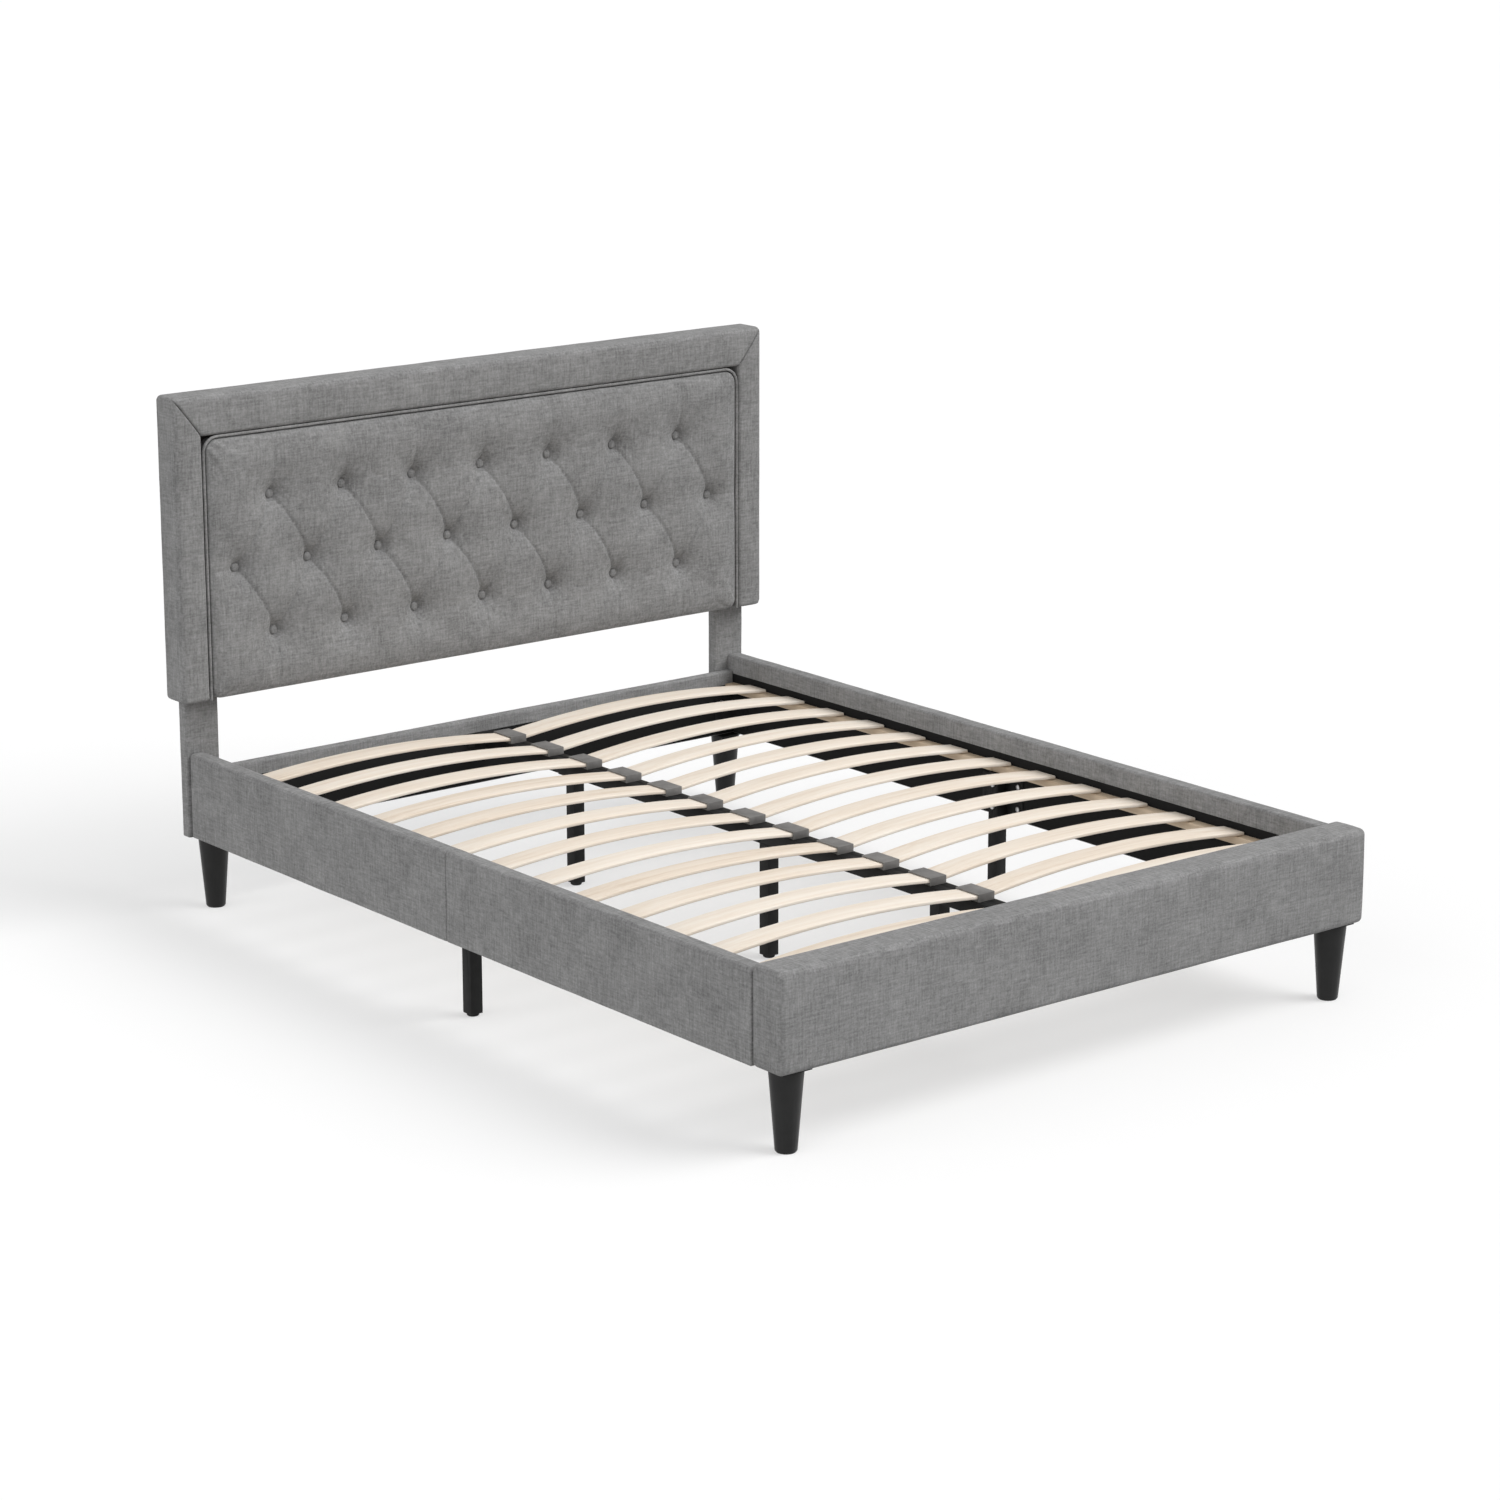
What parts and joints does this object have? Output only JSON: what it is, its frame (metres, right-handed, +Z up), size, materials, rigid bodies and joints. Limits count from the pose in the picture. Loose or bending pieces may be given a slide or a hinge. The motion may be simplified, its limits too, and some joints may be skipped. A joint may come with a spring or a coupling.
{
  "type": "upholstered headboard bed",
  "caption": "Double bed with a button-tufted upholstered headboard on posts, padded rails and foot panel, bowed wooden slats, a steel centre rail and tapered legs.",
  "frame": {"origin": "on the floor, under the middle of the bed's overall box", "axes": "+X across the bed, +Y from the foot towards the headboard, +Z up"},
  "size_m": [1.69, 2.18, 1.205],
  "materials": {
    "linen_fabric": "grey linen weave",
    "dust_cover": "plain grey backing cloth",
    "black_lining": "black non-woven",
    "pine": "sawn softwood",
    "plywood": "plywood",
    "birch": "smooth bent plywood",
    "black_steel": "satin powder coat",
    "grey_plastic": "moulded",
    "black_plastic": "moulded",
    "black_lacquer": "satin black lacquer",
    "zinc": "zinc plated"
  },
  "bodies": {
    "bed": {"headboard_rails": "pine", "headboard_board": "plywood", "headboard_back_cover": "dust_cover", "border_top": "linen_fabric", "border_left": "linen_fabric", "border_right": "linen_fabric", "tufted_panel": "linen_fabric", "welt_cord": "linen_fabric", "tuft_buttons": "linen_fabric", "post_left": "pine", "post_right": "pine", "post_covers": "linen_fabric", "head_rail_board": "pine", "head_rail_cover": "linen_fabric", "side_boards_left": "pine", "side_boards_right": "pine", "side_cover_left_foot": "linen_fabric", "side_cover_left_head": "linen_fabric", "side_cover_right_foot": "linen_fabric", "side_cover_right_head": "linen_fabric", "rail_linings": "black_lining", "foot_boards": "pine", "foot_blocks": "pine", "foot_cover": "linen_fabric", "ledger_left": "pine", "ledger_right": "pine", "ledger_screws": "zinc", "centre_rail_foot": "black_steel", "centre_rail_head": "black_steel", "centre_sleeve": "black_steel", "centre_brackets": "black_steel", "slat_caps": "grey_plastic", "centre_legs": "black_steel", "side_legs": "black_steel", "leg_plugs": "black_plastic", "corner_legs": "black_lacquer", "leg_plates": "black_steel", "leg_bolts": "zinc", "leg_pads": "black_plastic", "corner_brackets": "black_steel", "joint_plates": "black_steel", "frame_bolts": "zinc", "slat_pair_01": "birch", "slat_pair_02": "birch", "slat_pair_03": "birch", "slat_pair_04": "birch", "slat_pair_05": "birch", "slat_pair_06": "birch", "slat_pair_07": "birch", "slat_pair_08": "birch", "slat_pair_09": "birch", "slat_pair_10": "birch", "slat_pair_11": "birch", "slat_pair_12": "birch", "slat_pair_13": "birch"},
    "centre_glide_head": {"centre_glide_head": "black_plastic"},
    "centre_glide_mid": {"centre_glide_mid": "black_plastic"},
    "centre_glide_foot": {"centre_glide_foot": "black_plastic"},
    "side_glide_left": {"side_glide_left": "black_plastic"},
    "side_glide_right": {"side_glide_right": "black_plastic"}
  },
  "joints": [
    {"name": "centre_glide_head_screw", "type": "slide", "parent": "bed", "child": "centre_glide_head", "axis": [0, 0, 1], "range_m": [-0.01, 0]},
    {"name": "centre_glide_mid_screw", "type": "slide", "parent": "bed", "child": "centre_glide_mid", "axis": [0, 0, 1], "range_m": [-0.01, 0]},
    {"name": "centre_glide_foot_screw", "type": "slide", "parent": "bed", "child": "centre_glide_foot", "axis": [0, 0, 1], "range_m": [-0.01, 0]},
    {"name": "side_glide_left_screw", "type": "slide", "parent": "bed", "child": "side_glide_left", "axis": [0, 0, 1], "range_m": [-0.01, 0]},
    {"name": "side_glide_right_screw", "type": "slide", "parent": "bed", "child": "side_glide_right", "axis": [0, 0, 1], "range_m": [-0.01, 0]}
  ]
}
